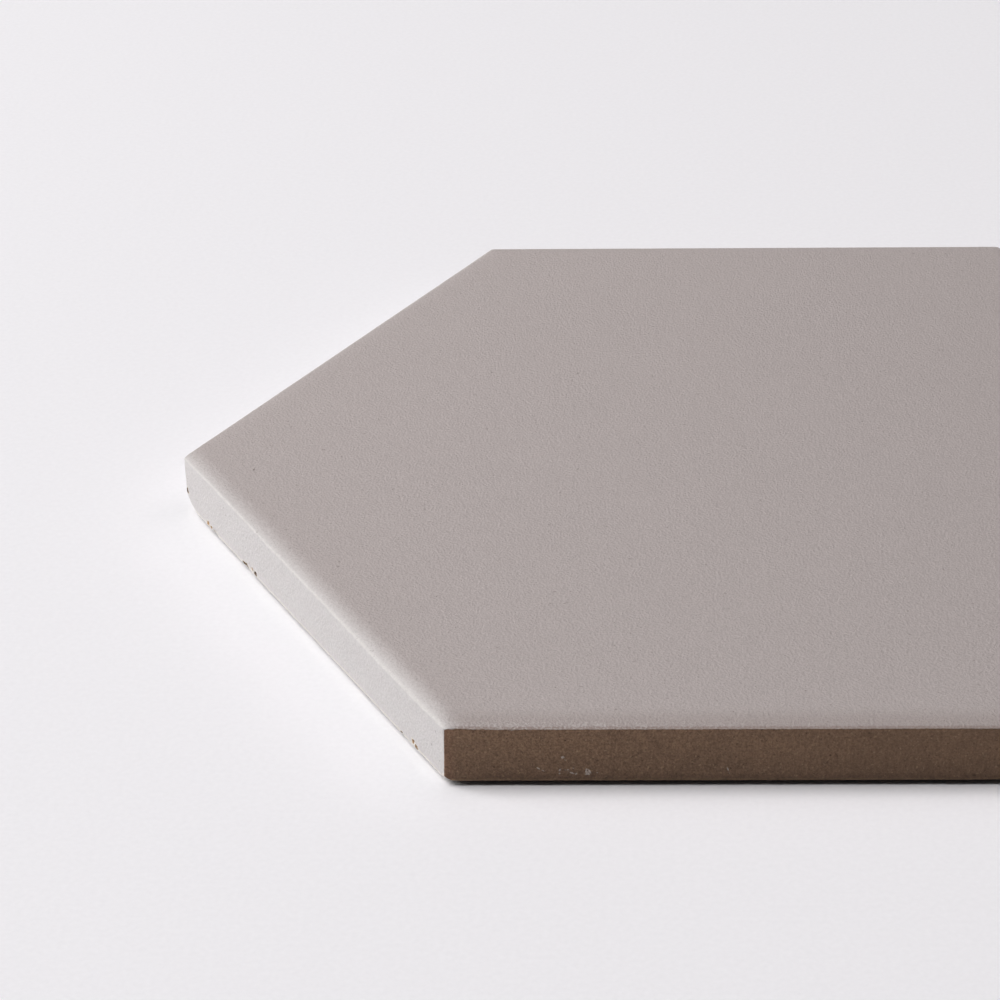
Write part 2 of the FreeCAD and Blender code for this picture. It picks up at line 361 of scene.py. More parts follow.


# Hollow out the chips: each is an oval bowl with a ragged rim, pushed in square to its side.
# Returns the signed share inside a bare chip, 1 in its middle and 0 at its rim, how much painted
# shade that has, and the share of a pale scar.
def breakRim(points, stops):
    bare = np.full(points.shape[:2], -1.0)
    shaded = np.zeros(points.shape[:2])
    scar = np.zeros(points.shape[:2])
    onSide = (sideAngles[stops["side"]] == chippedSide) & (points[..., 2] < faceHeight / 2)
    leftTip = sideLength * unitAt(chippedSide - 30.0)
    along = (points[..., :2] - leftTip) @ unitAt(chippedSide + 90.0)
    rag = chipRag["coarse"] * ripple(points, chipRag["coarseSize"], chipRag["seed"])
    rag = rag + chipRag["fine"] * ripple(points, chipRag["fineSize"], chipRag["seed"] + 1)
    inward = -unitAt(chippedSide)
    for start, height, long, tall, deep, shows, shadeLevel in rimChips:
        far = ((along - start) / long) ** 2 + ((points[..., 2] - height) / tall) ** 2
        share = np.where(onSide, 1.0 - np.sqrt(far) + rag, -1.0)
        push = deep * smoothStep(0.0, chipWall["bowl"], share)
        points[..., 0] += push * inward[0]
        points[..., 1] += push * inward[1]
        if shows == "clay":
            shaded = np.where(share > bare, shadeLevel, shaded)
            bare = np.maximum(bare, share)
        if shows == "cream":
            scar = np.maximum(scar, smoothStep(0.0, chipWall["scar"], share))
    return bare, shaded, scar


# Fine unevenness of the lower rim and the arrises, always inwards.
def roughenRim(points):
    rough = rimRoughness
    rim = smoothStep(rough["top"], rough["bottom"], points[..., 2])
    flat = np.abs(points[..., 2] - faceHeight) < 1e-6   # but for rounding
    coarse = 1.0 + ripple(points, rough["coarseSize"], rough["seed"])
    fine = 1.0 + ripple(points, rough["fineSize"], rough["seed"] + 1)
    wave = rough["waveMiddle"] + ripple(points, rough["waveSize"], rough["seed"] + 2)
    inward = rough["coarse"] * rim * coarse
    inward = inward + rough["fine"] * rim * fine
    inward = inward + rough["wave"] * wave
    reach = np.maximum(np.linalg.norm(points[..., :2], axis=-1), 1.0)
    shrink = np.where(flat, 1.0, 1.0 - np.maximum(inward, 0.0) / reach)
    points[..., :2] *= shrink[..., None]


# Signed distance in millimetres to the edge of the glaze, more than 0 where it covers. On a
# glazed side it is the height over the rim, less at a cut or chip. Elsewhere it is the way
# in from the bare side's arris. Round a corner the two meet along a line that leans.
def glazeReach(points, stops, cut, chipped):
    glazed = perSide("pale") > 0.0
    arris = np.array([edgeProfile(edge)[2] for edge in edges.values()])[stops["side"]]
    height = points[..., 2]
    out = points[..., 0] * np.cos(stops["facing"]) + points[..., 1] * np.sin(stops["facing"])
    wayIn = np.maximum(apothem - out, glazeEdge["least"])
    overArris = np.where(height > arris + glazeEdge["overArris"], wayIn, height - arris)
    fromRim = height - glazeEdge["rimHeight"]
    fromRim = np.where(cut > 0.0, np.minimum(fromRim, glazeEdge["cutCover"] - cut), fromRim)
    fromRim = np.minimum(fromRim, -glazeEdge["chipPull"] * chipped)

    along = points[..., 1] * np.cos(stops["facing"]) - points[..., 0] * np.sin(stops["facing"])
    fromEnd = sideLength / 2.0 - np.abs(along)
    climb = np.clip(height / faceHeight, 0.0, 1.0)
    wrap = glazeEdge["wrapLow"] + (glazeEdge["wrapHigh"] - glazeEdge["wrapLow"]) * climb
    onBare = np.maximum(overArris, np.minimum(wrap - fromEnd, fromRim))
    byBare = np.where(height > arris, fromRim, np.minimum(fromRim, wrap + fromEnd))
    onGlazed = np.where(glazed[stops["beside"]], fromRim, byBare)
    return np.where(glazed[stops["side"]], onGlazed, onBare)


# How far the glaze has run pale: 1 down a glazed side, and over the face its strength there
# times the square of one less the inset over its width.
def paleShare(points):
    share = np.zeros(points.shape[:2])
    for side, edge in edges.items():
        if edge["pale"] > 0.0:
            inset = apothem - points[..., :2] @ unitAt(side)
            along = 0.5 + points[..., :2] @ unitAt(side + 90.0) / sideLength
            first, last = edge["over"]
            over = first + (last - first) * np.clip(along, 0.0, 1.0)
            strength = over + (1.0 - over) * smoothStep(paleEdge["end"], paleEdge["full"], inset)
            fade = np.clip(1.0 - inset / edge["pale"], 0.0, 1.0) ** 2
            share = np.maximum(share, strength * fade)
    return np.minimum(share, 1.0)


# Quads between each ring and the next one down, wound to face outwards.
def ringFaces(rings, stopCount):
    ring = np.arange(rings - 1)[:, None] * stopCount
    stop = np.arange(stopCount)[None, :]
    after = (stop + 1) % stopCount
    quads = [ring + stop, ring + stopCount + stop, ring + stopCount + after, ring + after]
    return np.stack(quads, axis=-1).reshape(-1, 4).tolist()


# The ribs: rows of points along X that end on a hexagon inside the border. Across the rows
# the height is a trapezium with eased flanks, and at their ends it slopes up to the border.
def shapeBack():
    inner = apothem - ribField["border"]
    half = ribField["ribWidth"] / 2
    flank = ribField["flank"]
    pitch = ribField["pitch"]
    ribs = np.arange(-ribField["eachWay"], ribField["eachWay"] + 1) * pitch
    across = np.array([-flank, -ribField["flankToe"], ribField["flankTop"], ribField["shoulder"]])
    across = across - half
    across = np.concatenate([across, -across[::-1]])
    rows = np.clip((ribs[:, None] + across[None, :]).ravel(), -inner, inner)
    rows = np.unique(np.round(rows, 4))
    fromRib = np.abs((rows + pitch / 2) % pitch - pitch / 2)
    height = tile["borderHeight"] * smoothStep(half - ribField["easing"], half + flank, fromRib)
    height[[0, -1]] = tile["borderHeight"]
    rows = np.concatenate([[rows[0], rows[0] + flank], rows[1:-1], [rows[-1] - flank, rows[-1]]])
    height = np.concatenate([[height[0], 0.0], height[1:-1], [0.0, height[-1]]])
    order = np.argsort(rows, kind="stable")
    rows, height = rows[order], height[order]

    reach = inner / math.cos(math.radians(30)) - np.abs(rows) * math.tan(math.radians(30))
    slope = ribField["endSlope"]
    fromEnd = np.array([0.0, slope * ribField["endShare"], slope, slope + ribField["endRun"]])
    middle = reach[:, None] * np.array([-ribField["middleRows"], 0.0, ribField["middleRows"]])
    x = np.hstack([fromEnd - reach[:, None], middle, reach[:, None] - fromEnd[::-1]])
    fade = np.ones(x.shape[1])
    fade[[0, -1]] = 0.0
    fade[[1, -2]] = ribField["endFade"]
    z = tile["borderHeight"] - (tile["borderHeight"] - height[:, None]) * fade
    return np.stack([x, np.broadcast_to(rows[:, None], x.shape), z], axis=-1)


# Vertex numbers along each side of the rib grid, anticlockwise from its right-hand corner.
def backOutline(number):
    widest = len(number) // 2
    right, left = number[:, -1], number[:, 0]
    return [right[widest:], number[-1, ::-1], left[widest:][::-1],
            left[:widest + 1][::-1], number[0, :], right[:widest + 1]]


# Join rings, rib grid and border into one closed mesh, with the marks for its material.
def buildTile():
    stops = layStops()
    points = shapeRings(stops)
    roughenRim(points)
    cut = cutCorners(points)
    chipped, chipShade, scar = breakRim(points, stops)
    rings, stopCount = points.shape[:2]
    back = shapeBack()
    backCount = back.shape[0] * back.shape[1]
    middle = rings * stopCount
    number = middle + 1 + np.arange(backCount).reshape(back.shape[:2])

    stop = np.arange(stopCount)
    fan = np.stack([np.full(stopCount, middle), stop, (stop + 1) % stopCount], axis=-1)
    quads = [number[:-1, :-1], number[1:, :-1], number[1:, 1:], number[:-1, 1:]]
    faces = ringFaces(rings, stopCount) + fan.tolist()
    faces += np.stack(quads, axis=-1).reshape(-1, 4).tolist()
    lastRing = (rings - 1) * stopCount
    for side, inner in enumerate(backOutline(number)):
        own = np.flatnonzero(stops["side"] == side)
        outer = lastRing + np.append(own, own[-1] + 1) % stopCount
        faces.append(np.concatenate([outer[::-1], inner]).tolist())

    # Each mark's value on the rings, then at the face's middle and over the back.
    marks = {
        "glazeReach": (glazeReach(points, stops, cut, chipped), apothem, glazeEdge["onBack"]),
        "paleShare": (paleShare(points), 0.0, 0.0),
        "chipShare": (chipped, -1.0, -1.0),
        "chipShade": (chipShade, 0.0, 0.0),
        "scarShare": (scar, 0.0, 0.0),
    }
    top = np.array([[0.0, 0.0, faceHeight]])
    vertices = np.vstack([points.reshape(-1, 3), top, back.reshape(-1, 3)]) * mm
    mesh = bpy.data.meshes.new("hexagonTile")
    mesh.from_pydata(vertices.tolist(), [], faces)
    mesh.update()
    for name, (onRings, atTop, onBack) in marks.items():
        values = np.concatenate([onRings.ravel(), [atTop], np.full(backCount, onBack)])
        attribute = mesh.attributes.new(name, "FLOAT", "POINT")
        attribute.data.foreach_set("value", values.astype(np.float32))
    # All is smooth but the border's flat faces, the last ones, which shade evenly as planes.
    # The sharp edges come first, because setting them makes every face smooth again.
    mesh.set_sharp_from_angle(angle=math.radians(tile["sharpAngle"]))
    smooth = np.ones(len(mesh.polygons), bool)
    smooth[-len(edges):] = False
    mesh.polygons.foreach_set("use_smooth", smooth)
    mesh.validate()
    piece = bpy.data.objects.new("hexagonTile", mesh)
    bpy.context.scene.collection.objects.link(piece)
    print("tile: %d vertices, %d faces" % (len(mesh.vertices), len(mesh.polygons)))
    return piece


# A short way to lay out a material's nodes: each call adds one and returns its output.
class nodeTable:
    def __init__(self, name):
        self.material = bpy.data.materials.new(name)
        self.material.use_nodes = True
        self.tree = self.material.node_tree
        self.tree.nodes.clear()
        self.place = self.add("ShaderNodeTexCoord").outputs["Object"]

    def add(self, kind, **settings):
        node = self.tree.nodes.new(kind)
        for key, value in settings.items():
            setattr(node, key, value)
        return node

    # Joins a socket to a node's output, or gives it a fixed value.
    def put(self, socket, value):
        if isinstance(value, bpy.types.NodeSocket):
            self.tree.links.new(value, socket)
        else:
            socket.default_value = value

    def feed(self, node, **inputs):
        for key, value in inputs.items():
            self.put(node.inputs[key], value)
        return node

    def maths(self, operation, *values):
        node = self.add("ShaderNodeMath", operation=operation)
        for socket, value in zip(node.inputs, values):
            self.put(socket, value)
        return node.outputs[0]

    # A value times a gain, about an offset that the value's middle moves to.
    def around(self, value, gain, middle=0.0):
        return self.maths("MULTIPLY_ADD", value, gain, middle - 0.5 * gain)

    # A smooth step from low to high.
    def spread(self, value, low, high, toLow=0.0, toHigh=1.0):
        node = self.add("ShaderNodeMapRange", interpolation_type="SMOOTHSTEP")
        for socket, item in zip(node.inputs, (value, low, high, toLow, toHigh)):
            self.put(socket, item)
        return node.outputs[0]

    # The same over a length, with low and high in millimetres from a start.
    def spreadOver(self, value, low, high, toLow=0.0, toHigh=1.0, start=0.0):
        return self.spread(value, (start + low) * mm, (start + high) * mm, toLow, toHigh)

    # Noise whose lumps are about this many millimetres across.
    def noise(self, size, detail=2.0, roughness=0.5, stretch=(1.0, 1.0, 1.0)):
        mapping = self.feed(self.add("ShaderNodeMapping"), Vector=self.place, Scale=stretch)
        node = self.add("ShaderNodeTexNoise", noise_dimensions="3D")
        self.feed(node, Vector=mapping.outputs[0], Scale=1.0 / (size * mm))
        return self.feed(node, Detail=detail, Roughness=roughness).outputs["Fac"]

    def blend(self, share, first, second):
        node = self.add("ShaderNodeMix", data_type="RGBA", clamp_factor=True)
        sockets = (node.inputs[0], node.inputs[6], node.inputs[7])
        for socket, value in zip(sockets, (share, first, second)):
            self.put(socket, value)
        return node.outputs[2]

    # A colour made lighter or darker by a number near 1.
    def shade(self, colour, share):
        node = self.add("ShaderNodeVectorMath", operation="SCALE")
        return self.feed(node, Vector=colour, Scale=share).outputs[0]

    # 1 in the middle of an oval, falling to 0 at its rim.
    def spot(self, centre, size, turn=(0.0, 0.0, 0.0)):
        mapping = self.add("ShaderNodeMapping", vector_type="TEXTURE")
        self.feed(mapping, Vector=self.place, Location=centre, Rotation=turn, Scale=size)
        gradient = self.add("ShaderNodeTexGradient", gradient_type="SPHERICAL")
        return self.feed(gradient, Vector=mapping.outputs[0]).outputs["Fac"]

    def bump(self, height, distance):
        node = self.add("ShaderNodeBump")
        return self.feed(node, Height=height, Distance=distance * mm).outputs[0]

    def mark(self, name):
        return self.add("ShaderNodeAttribute", attribute_name=name).outputs["Fac"]

    def parts(self, vector):
        node = self.add("ShaderNodeSeparateXYZ")
        return self.feed(node, Vector=vector).outputs


# In both looks a noise is its size in millimetres, detail and roughness. A pair is where a
# smooth step starts and ends, and two more numbers are its shares there, if not 0 and 1. Such
# a step's band is in millimetres in from the front arris, its heights are over the foot, and
# along is in X.
glaze = {
    "colour": (0.445, 0.397, 0.386, 1.0),
    "roughness": 0.62,
    "specular": 0.35,
    "grainNoise": (0.42, 2.0, 0.55),
    "grainDepth": 0.18,
    "speckle": 0.28,           # how far the fine grain lightens and darkens it
    "fleckNoise": (0.7, 3.0, 0.65),
    "fleckShare": 0.5,         # of the speckle
    "cloudSize": 14.0,
    "cloud": 0.024,
    "driftX": -0.85,           # paler to the left and to the back, per metre
    "driftY": 0.20,
    # Down the glazed sides and over their arrises.
    "rolledColour": (0.637, 0.608, 0.599, 1.0),
    "paleFleck": 0.40,
    "fleckedFrom": (0.0, 0.10),
    # A painted highlight, a thin line along a glazed arris.
    "ridgeGlintColour": (0.680, 0.647, 0.625, 1.0),
    "crestShare": 0.5,
    "crestPale": (0.82, 0.92),
    "crestSlope": (0.05, 0.4),
    # Near the front arris, where the clay shows through, broken up in the near band.
    "thinColour": (0.290, 0.232, 0.212, 1.0),
    "thinNear": 0.64,
    "nearBand": (0.70, 0.38),
    "thinNoise": (0.45, 2.0, 0.6),
    "thinBreak": 2.4,
    "thinWide": 0.42,
    "wideBand": (5.6, 0.8),
    "faceSlope": (0.1, 0.5),
    # The glaze's very edge there.
    "arrisColour": (0.350, 0.275, 0.240, 1.0),
    "arrisShare": 0.6,
    "arrisBand": (0.22, 0.10),
    "arrisPale": (0.5, 0.1),
    # Pale dots of crawled glaze by that arris, fewer to the right.
    "dotColour": (0.640, 0.610, 0.600, 1.0),
    "dotNoise": (0.34, 0.0, 0.5),
    "dotLevels": (0.50, 0.64, 0.0, 0.29),
    "dotBand": (2.5, 0.9),
    "dotAlong": (10.0, -40.0, 0.4, 1.0),
    # A raw lip along a chip, and a side's patchy low rim, cream and made paler as painted light
    # against the shade at its foot.
    "creamLipAndLitRimColour": (0.82, 0.77, 0.71, 1.0),
    "lipReach": (-0.8, -0.5),
    "lipWidth": (0.34, 0.10),
    "litRimHeights": (0.60, 0.12),
    "rimNoise": (2.2, 3.0, 0.6),
    "rimLevels": (0.35, 0.62, 0.6, 1.0),
    "pitColour": (0.20, 0.165, 0.15, 1.0),
    "pitNoise": (0.75, 1.0, 0.5),
    "pitLevels": (0.27, 0.20, 0.0, 0.5),
}
clay = {
    "colour": (0.230, 0.141, 0.087, 1.0),
    "roughness": 0.85,
    "sandNoise": (0.34, 3.0, 0.65),
    "sandDepth": 0.13,
    "sandShadingAlong": (-42.0, 30.0, 2.1, 1.25),   # stronger to the left, as painted shading of the grain where light grazes it
    "dragNoise": (1.0, 3.0, 0.6, (2.6, 2.6, 0.35)),   # drawn out in height by these scales
    "drag": 0.50,
    "dragDepth": 0.06,
    "drift": -2.0,
    # Painted shade, darker downwards from here to here over the floor, and darker in clouds.
    "shadeAndCloudColour": (0.150, 0.093, 0.060, 1.0),
    "paintedShadeDown": (8.0, 1.6, 0.0, 0.55),
    "cloudSize": 9.0,
    "cloudLevels": (0.35, 0.75, 0.0, 0.35),
    # Redder in a tall oval about the front side's left corner, so high over the floor.
    "redColour": (0.250, 0.130, 0.085, 1.0),
    "redHeight": 5.0,
    "redSize": (1.8, 1.8, 30.0),
    "redShare": 0.5,
    # Pale flecks, and a painted highlight as a paler line along the foot.
    "fleckAndHighlightColour": (0.370, 0.250, 0.160, 1.0),
    "fleckNoise": (0.50, 2.0, 0.5),
    "fleckLevels": (0.60, 0.74, 0.0, 0.6),
    "highlightHeights": (0.28, 0.06, 0.0, 0.30),
    # Dark specks, painted shade above the foot and darker painted shade below it, and the pits on
    # the front side.
    "pitColour": (0.050, 0.030, 0.020, 1.0),
    "speckNoise": (0.55, 2.0, 0.5),
    "speckLevels": (0.36, 0.26, 0.0, 0.6),
    "footShadeHeights": (1.5, 0.4, 0.0, 0.24),
    "underShadeHeights": (-0.04, -0.16, 0.0, 0.80),
    "pitLevels": (0.15, 0.7),
    "pitShare": 0.8,
    "smearColour": (0.560, 0.500, 0.450, 1.0),
    "smearNoise": (0.35, 3.0, 0.7),
    "smearRag": 0.9,
    "smearLevels": (0.36, 0.72),
    "smearShare": 0.7,
    "frontSlope": (-0.90, -0.97),
    # Raw clay in a chip is tan; its deep brown is painted shade in the hollow.
    "tanColour": (0.520, 0.330, 0.170, 1.0),     # in a shallow chip
    "shadedClayColour": (0.130, 0.085, 0.062, 1.0),    # in a deep chip
    "rawReach": (-0.4, -0.1),
}

# Pale smears and dark pits on the front side, the last smear a painted highlight just under the
# arris: distance from its left corner, height over the floor, half length, half width, tilt down
# to the right, and strength.
smearsAndArrisGlint = [
    (14.20, 3.20, 0.62, 0.28, 35.0, 1.00), (14.90, 2.80, 0.70, 0.28, 30.0, 0.70),
    (17.90, 5.18, 0.50, 0.44, 0.0, 1.00), (18.25, 4.70, 0.46, 0.30, 40.0, 0.66),
    (17.45, 2.95, 0.55, 0.28, -60.0, 0.85), (17.40, 2.25, 0.36, 0.30, 0.0, 0.80),
    (18.66, 2.95, 0.42, 0.28, 0.0, 0.82), (19.25, 2.35, 0.90, 0.24, 25.0, 0.90),
    (19.90, 2.20, 0.44, 0.28, -50.0, 0.85), (19.45, 3.20, 0.50, 0.22, 10.0, 0.75),
    (21.42, 2.75, 1.00, 0.30, 100.0, 0.90), (21.55, 2.15, 0.85, 0.36, 0.0, 0.92),
    (21.90, 2.65, 1.00, 0.28, 62.0, 0.95), (21.55, 2.45, 0.70, 0.70, 0.0, 0.62),
    (23.10, 2.40, 0.44, 0.30, 0.0, 0.70), (18.60, 2.70, 1.90, 1.00, 0.0, 0.48),
    (42.80, 3.00, 0.75, 0.24, 75.0, 0.88), (42.40, 2.60, 0.46, 0.22, 0.0, 0.70),
    # The last mark of this line is a painted highlight just under the arris.
    (43.05, 2.25, 0.40, 0.24, 40.0, 0.66), (10.40, 10.02, 1.10, 0.16, 0.0, 0.80),
]
frontPits = [
    (58.20, 5.45, 0.34, 0.32, 0.0, 1.0), (80.00, 1.80, 0.42, 0.28, 0.0, 1.0),
]
frontLeft = sideLength * unitAt(240.0)   # the left corner of that side
frontReach = 3.0                         # how far in a mark's oval reaches
facePinhole = {
    "x": -87.15, "y": -5.4, "wide": 0.30, "long": 0.62, "tall": 1000.0,
    "levels": (0.0, 0.8, 0.0, 0.75),
}


# The strongest of many oval marks on the front side, each 1 in its middle.
def frontMarks(nodes, marks):
    total = None
    for along, height, long, wide, tilt, strength in marks:
        centre = ((frontLeft[0] + along) * mm, frontLeft[1] * mm, height * mm)
        size = (long * mm, frontReach * mm, wide * mm)
        share = nodes.spot(centre, size, (0.0, math.radians(tilt), 0.0))
        share = nodes.maths("MULTIPLY", share, strength)
        total = share if total is None else nodes.maths("MAXIMUM", total, share)
    return total


# The glaze's colour: pale where it runs over an arris and down a side, with a painted highlight in
# a thin line along that arris, thin, warm and dotted by the front arris, and cream along the low
# rim, there partly painted light, and round each chip.
def glazeSurface(nodes, place, slope, edge, grain):
    pale = nodes.mark("paleShare")
    fleck = nodes.noise(*glaze["fleckNoise"])
    tone = nodes.around(grain, glaze["speckle"], 1.0)
    tone = nodes.maths("ADD", tone, nodes.around(fleck, glaze["fleckShare"] * glaze["speckle"]))
    tone = nodes.maths("ADD", tone, nodes.around(nodes.noise(glaze["cloudSize"]), glaze["cloud"]))
    tone = nodes.maths("MULTIPLY_ADD", place["X"], glaze["driftX"], tone)
    tone = nodes.maths("MULTIPLY_ADD", place["Y"], glaze["driftY"], tone)

    flecked = nodes.maths("ADD", pale, nodes.around(fleck, glaze["paleFleck"]))
    flecked = nodes.maths("MULTIPLY", flecked, nodes.spread(pale, *glaze["fleckedFrom"]))
    body = nodes.blend(flecked, glaze["colour"], glaze["rolledColour"])
    # Painted highlight along the glazed arris.
    ridgeGlint = nodes.spread(pale, *glaze["crestPale"])
    ridgeGlint = nodes.maths("MULTIPLY", ridgeGlint, nodes.spread(slope["Z"], *glaze["crestSlope"]))
    ridgeGlint = nodes.maths("MULTIPLY", ridgeGlint, glaze["crestShare"])
    body = nodes.blend(ridgeGlint, body, glaze["ridgeGlintColour"])

    ahead = nodes.maths("MULTIPLY_ADD", place["Y"], 1.0 / mm, apothem)
    broken = nodes.around(nodes.noise(*glaze["thinNoise"]), glaze["thinBreak"], 1.0)
    thin = nodes.maths("MULTIPLY", nodes.spread(ahead, *glaze["nearBand"]), glaze["thinNear"])
    thin = nodes.maths("MULTIPLY", thin, broken)
    wide = nodes.spread(ahead, *glaze["wideBand"])
    thin = nodes.maths("MULTIPLY_ADD", wide, glaze["thinWide"], thin)
    onFace = nodes.spread(slope["Z"], *glaze["faceSlope"])
    thin = nodes.maths("MULTIPLY", thin, nodes.maths("SUBTRACT", onFace, pale))
    body = nodes.blend(thin, body, glaze["thinColour"])
    atArris = nodes.spread(ahead, *glaze["arrisBand"])
    atArris = nodes.maths("MULTIPLY", atArris, nodes.spread(pale, *glaze["arrisPale"]))
    atArris = nodes.maths("MULTIPLY", atArris, glaze["arrisShare"])
    body = nodes.blend(atArris, body, glaze["arrisColour"])
    dots = nodes.spread(nodes.noise(*glaze["dotNoise"]), *glaze["dotLevels"])
    dots = nodes.maths("MULTIPLY", dots, nodes.spread(ahead, *glaze["dotBand"]))
    dots = nodes.maths("MULTIPLY", dots, nodes.spreadOver(place["X"], *glaze["dotAlong"]))
    body = nodes.blend(dots, body, glaze["dotColour"])

    colour = nodes.shade(body, tone)
    pits = nodes.spread(nodes.noise(*glaze["pitNoise"]), *glaze["pitLevels"])
    colour = nodes.blend(pits, colour, glaze["pitColour"])
    byChip = nodes.spread(nodes.mark("chipShare"), *glaze["lipReach"])
    lip = nodes.maths("MULTIPLY", nodes.spread(edge, *glaze["lipWidth"]), byChip)
    lip = nodes.maths("MAXIMUM", lip, nodes.mark("scarShare"))
    # The low rim's cream, partly real and partly painted light that lifts the shade where the side
    # meets the floor.
    rim = nodes.spreadOver(place["Z"], *glaze["litRimHeights"], start=edges[210]["foot"])
    patchy = nodes.spread(nodes.noise(*glaze["rimNoise"]), *glaze["rimLevels"])
    rim = nodes.maths("MULTIPLY", rim, patchy)
    colour = nodes.blend(nodes.maths("MAXIMUM", lip, rim), colour, glaze["creamLipAndLitRimColour"])
    hole = facePinhole
    centre = (hole["x"] * mm, hole["y"] * mm, faceHeight * mm)
    size = (hole["wide"] * mm, hole["long"] * mm, hole["tall"] * mm)
    pinhole = nodes.spread(nodes.spot(centre, size), *hole["levels"])
    return nodes.blend(pinhole, colour, glaze["pitColour"])


# The clay's colour: sandy, with the sand's contrast as painted shading stronger to the left,
# dragged up and down by the press, painted shade darker to the foot and below it with a painted
# highlight along it, redder by the left corner, with smears, one a painted highlight under the
# arris, and pits, and raw inside the chips with painted shade in their hollows.
def claySurface(nodes, place, slope, sand, drag):
    # Painted shading: the sand's contrast is stronger to the left, where the light grazes it.
    coarse = nodes.spreadOver(place["X"], *clay["sandShadingAlong"])
    tone = nodes.maths("MULTIPLY_ADD", nodes.maths("SUBTRACT", sand, 0.5), coarse, 1.0)
    tone = nodes.maths("ADD", tone, nodes.around(drag, clay["drag"]))
    tone = nodes.maths("MULTIPLY_ADD", place["X"], clay["drift"], tone)
    # Painted shade: the clay darker towards the foot.
    low = nodes.spreadOver(place["Z"], *clay["paintedShadeDown"])
    body = nodes.blend(low, clay["colour"], clay["shadeAndCloudColour"])
    clouds = nodes.spread(nodes.noise(clay["cloudSize"]), *clay["cloudLevels"])
    body = nodes.blend(clouds, body, clay["shadeAndCloudColour"])
    centre = (frontLeft[0] * mm, frontLeft[1] * mm, clay["redHeight"] * mm)
    byLeft = nodes.spot(centre, [length * mm for length in clay["redSize"]])
    body = nodes.blend(nodes.maths("MULTIPLY", byLeft, clay["redShare"]), body, clay["redColour"])
    flecks = nodes.spread(nodes.noise(*clay["fleckNoise"]), *clay["fleckLevels"])
    body = nodes.blend(flecks, body, clay["fleckAndHighlightColour"])
    specks = nodes.spread(nodes.noise(*clay["speckNoise"]), *clay["speckLevels"])
    body = nodes.blend(specks, body, clay["pitColour"])
    foot = edges[270]["foot"]
    # Painted shade over the clay just above the foot.
    footShade = nodes.spreadOver(place["Z"], *clay["footShadeHeights"], start=foot)
    body = nodes.blend(footShade, body, clay["pitColour"])
    # Painted highlight along the foot's edge.
    footHighlight = nodes.spreadOver(place["Z"], *clay["highlightHeights"], start=foot)
    body = nodes.blend(footHighlight, body, clay["fleckAndHighlightColour"])
    # Deep painted shade on the bevel under the foot, over the gap below it.
    under = nodes.spreadOver(place["Z"], *clay["underShadeHeights"], start=foot)
    body = nodes.blend(under, body, clay["pitColour"])

    onFront = nodes.spread(slope["Y"], *clay["frontSlope"])
    uneven = nodes.around(nodes.noise(*clay["smearNoise"]), clay["smearRag"])
    smears = nodes.maths("ADD", frontMarks(nodes, smearsAndArrisGlint), uneven)
    smears = nodes.maths("MULTIPLY", nodes.spread(smears, *clay["smearLevels"]), onFront)
    smears = nodes.maths("MULTIPLY", smears, clay["smearShare"])
    body = nodes.blend(smears, body, clay["smearColour"])
    pits = nodes.spread(frontMarks(nodes, frontPits), *clay["pitLevels"])
    pits = nodes.maths("MULTIPLY", pits, onFront)
    pits = nodes.maths("MULTIPLY", pits, clay["pitShare"])
    body = nodes.blend(pits, body, clay["pitColour"])

    # Inside a chip the raw clay, with painted shade where its mark says.
    raw = nodes.blend(nodes.mark("chipShade"), clay["tanColour"], clay["shadedClayColour"])
    body = nodes.blend(nodes.spread(nodes.mark("chipShare"), *clay["rawReach"]), body, raw)
    return nodes.shade(body, tone)


# Matt glaze over bare clay, parted where the mesh's glazeReach, made ragged, crosses 0.
def firedTileMaterial():
    nodes = nodeTable("firedTile")
    place = nodes.parts(nodes.place)
    slope = nodes.parts(nodes.add("ShaderNodeNewGeometry").outputs["Normal"])
    edge = nodes.mark("glazeReach")
    ragged = nodes.around(nodes.noise(*glazeEdge["ragNoise"]), glazeEdge["rag"])
    edge = nodes.maths("ADD", edge, ragged)
    covered = nodes.spread(edge, *glazeEdge["soft"])

    grain = nodes.noise(*glaze["grainNoise"])
    sand = nodes.noise(*clay["sandNoise"])
    drag = nodes.noise(*clay["dragNoise"])
    glazeColour = glazeSurface(nodes, place, slope, edge, grain)
    clayColour = claySurface(nodes, place, slope, sand, drag)
    colour = nodes.blend(covered, clayColour, glazeColour)
    roughness = nodes.spread(covered, 0.0, 1.0, clay["roughness"], glaze["roughness"])

    # The clay's height is in millimetres already, so its bump is 1 mm deep.
    sandHeight = nodes.maths("MULTIPLY", sand, clay["sandDepth"])
    clayHeight = nodes.maths("MULTIPLY_ADD", drag, clay["dragDepth"], sandHeight)
    normal = nodes.add("ShaderNodeMix", data_type="VECTOR")
    nodes.put(normal.inputs[0], covered)
    nodes.put(normal.inputs[4], nodes.bump(clayHeight, 1.0))
    nodes.put(normal.inputs[5], nodes.bump(grain, glaze["grainDepth"]))

    shader = nodes.add("ShaderNodeBsdfPrincipled")
    nodes.put(shader.inputs["Base Color"], colour)
    nodes.put(shader.inputs["Roughness"], roughness)
    nodes.put(shader.inputs["Normal"], normal.outputs[1])
    shader.inputs["Specular IOR Level"].default_value = glaze["specular"]
    nodes.feed(nodes.add("ShaderNodeOutputMaterial"), Surface=shader.outputs[0])
    print("material: firedTile, %d nodes" % len(nodes.tree.nodes))
    return nodes.material


floorSheet = {
    "reach": 9000.0,
    "darkFleck": (0.850, 0.842, 0.865, 1.0),
    "paleFleck": (0.928, 0.920, 0.943, 1.0),
    "fleckNoise": (0.9, 3.0, 0.6),
    "roughness": 0.9,
    "specular": 0.1,
}


